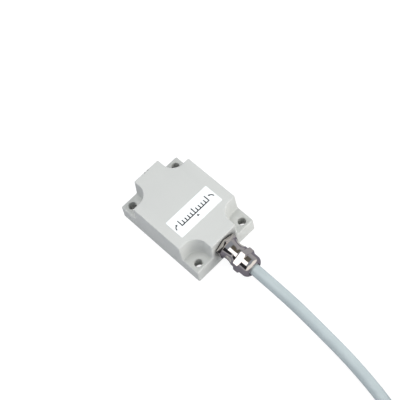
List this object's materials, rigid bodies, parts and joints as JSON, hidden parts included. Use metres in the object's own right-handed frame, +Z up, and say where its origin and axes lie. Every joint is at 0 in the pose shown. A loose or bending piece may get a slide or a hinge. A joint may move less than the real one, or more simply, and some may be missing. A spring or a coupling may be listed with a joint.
{
  "type": "inclinometer",
  "caption": "Tilt sensor in a drafted rectangular housing with bolt lugs in rounded corner notches, a metal cable gland at one end and a free cable.",
  "frame": {"origin": "centre of the four mounting holes, on the plane of the housing's underside", "axes": "+Z up out of the label side, the cable gland points along -Y, +X to the right of it"},
  "size_m": [0.1051, 0.355, 0.0308],
  "materials": {
    "housing_plastic": "light grey moulded thermoplastic, fine matt texture",
    "potting_resin": "cast black resin",
    "label_film": "blank white polyester film",
    "board_laminate": "green solder resist on glass laminate",
    "screw_steel": "zinc-plated steel",
    "solder": "tin solder",
    "chip_resin": "black moulding compound",
    "sensor_lid": "plated metal lid",
    "ferrite": "dark sintered ferrite",
    "can_aluminium": "bright drawn aluminium",
    "crystal_can": "nickel-plated pressed can",
    "capacitor_ceramic": "tan ceramic with tinned ends",
    "gasket_rubber": "black nitrile rubber",
    "gland_nickel": "bright nickel plate on turned brass",
    "clamp_nylon": "natural polyamide",
    "seal_rubber": "black chloroprene rubber",
    "cable_jacket": "blue-grey flexible jacket, satin",
    "shield_braid": "tinned copper braid",
    "core_brown": "brown core insulation",
    "core_white": "white core insulation",
    "core_blue": "blue core insulation",
    "core_black": "black core insulation",
    "core_grey": "grey core insulation",
    "shrink_sleeve": "black heat-shrunk polyolefin",
    "ferrule": "tinned copper with a white collar"
  },
  "bodies": {
    "sensor": {"board_screws": "screw_steel", "buffer_capacitor": "can_aluminium", "cable": "cable_jacket", "cable_coil": "cable_jacket", "cable_end_sleeve": "shrink_sleeve", "cable_jacket": "cable_jacket", "cable_seal": "seal_rubber", "cable_shield": "shield_braid", "chip_capacitors": "capacitor_ceramic", "chip_resistors": "chip_resin", "circuit_board": "board_laminate", "clamp_insert": "clamp_nylon", "core_black": "core_black", "core_blue": "core_blue", "core_brown": "core_brown", "core_grey": "core_grey", "core_white": "core_white", "gland_body": "gland_nickel", "gland_gasket": "gasket_rubber", "housing": "housing_plastic", "inductor": "ferrite", "interface_driver": "chip_resin", "label": "label_film", "lead_black": "core_black", "lead_blue": "core_blue", "lead_brown": "core_brown", "lead_ferrules": "ferrule", "lead_grey": "core_grey", "lead_white": "core_white", "microcontroller": "chip_resin", "potting": "potting_resin", "quartz_crystal": "crystal_can", "sensor_chip": "sensor_lid", "solder_joints": "solder", "surge_diodes": "chip_resin", "voltage_regulator": "chip_resin"},
    "slip_ring": {"thrust_ring": "clamp_nylon"},
    "nut": {"cap_nut": "gland_nickel"}
  },
  "joints": [
    {"name": "nut_advance", "type": "slide", "parent": "sensor", "child": "slip_ring", "axis": [0, -1, 0], "range_m": [0, 0.0045]},
    {"name": "nut_turn", "type": "hinge", "parent": "slip_ring", "child": "nut", "pos_m": [0, -0.0415, 0.017], "axis": [0, -1, 0], "range_deg": [0, 1080]}
  ],
  "couplings": [
    {"joint": "nut_advance", "follows": "nut_turn", "m_per_rad": 0.00023873}
  ]
}
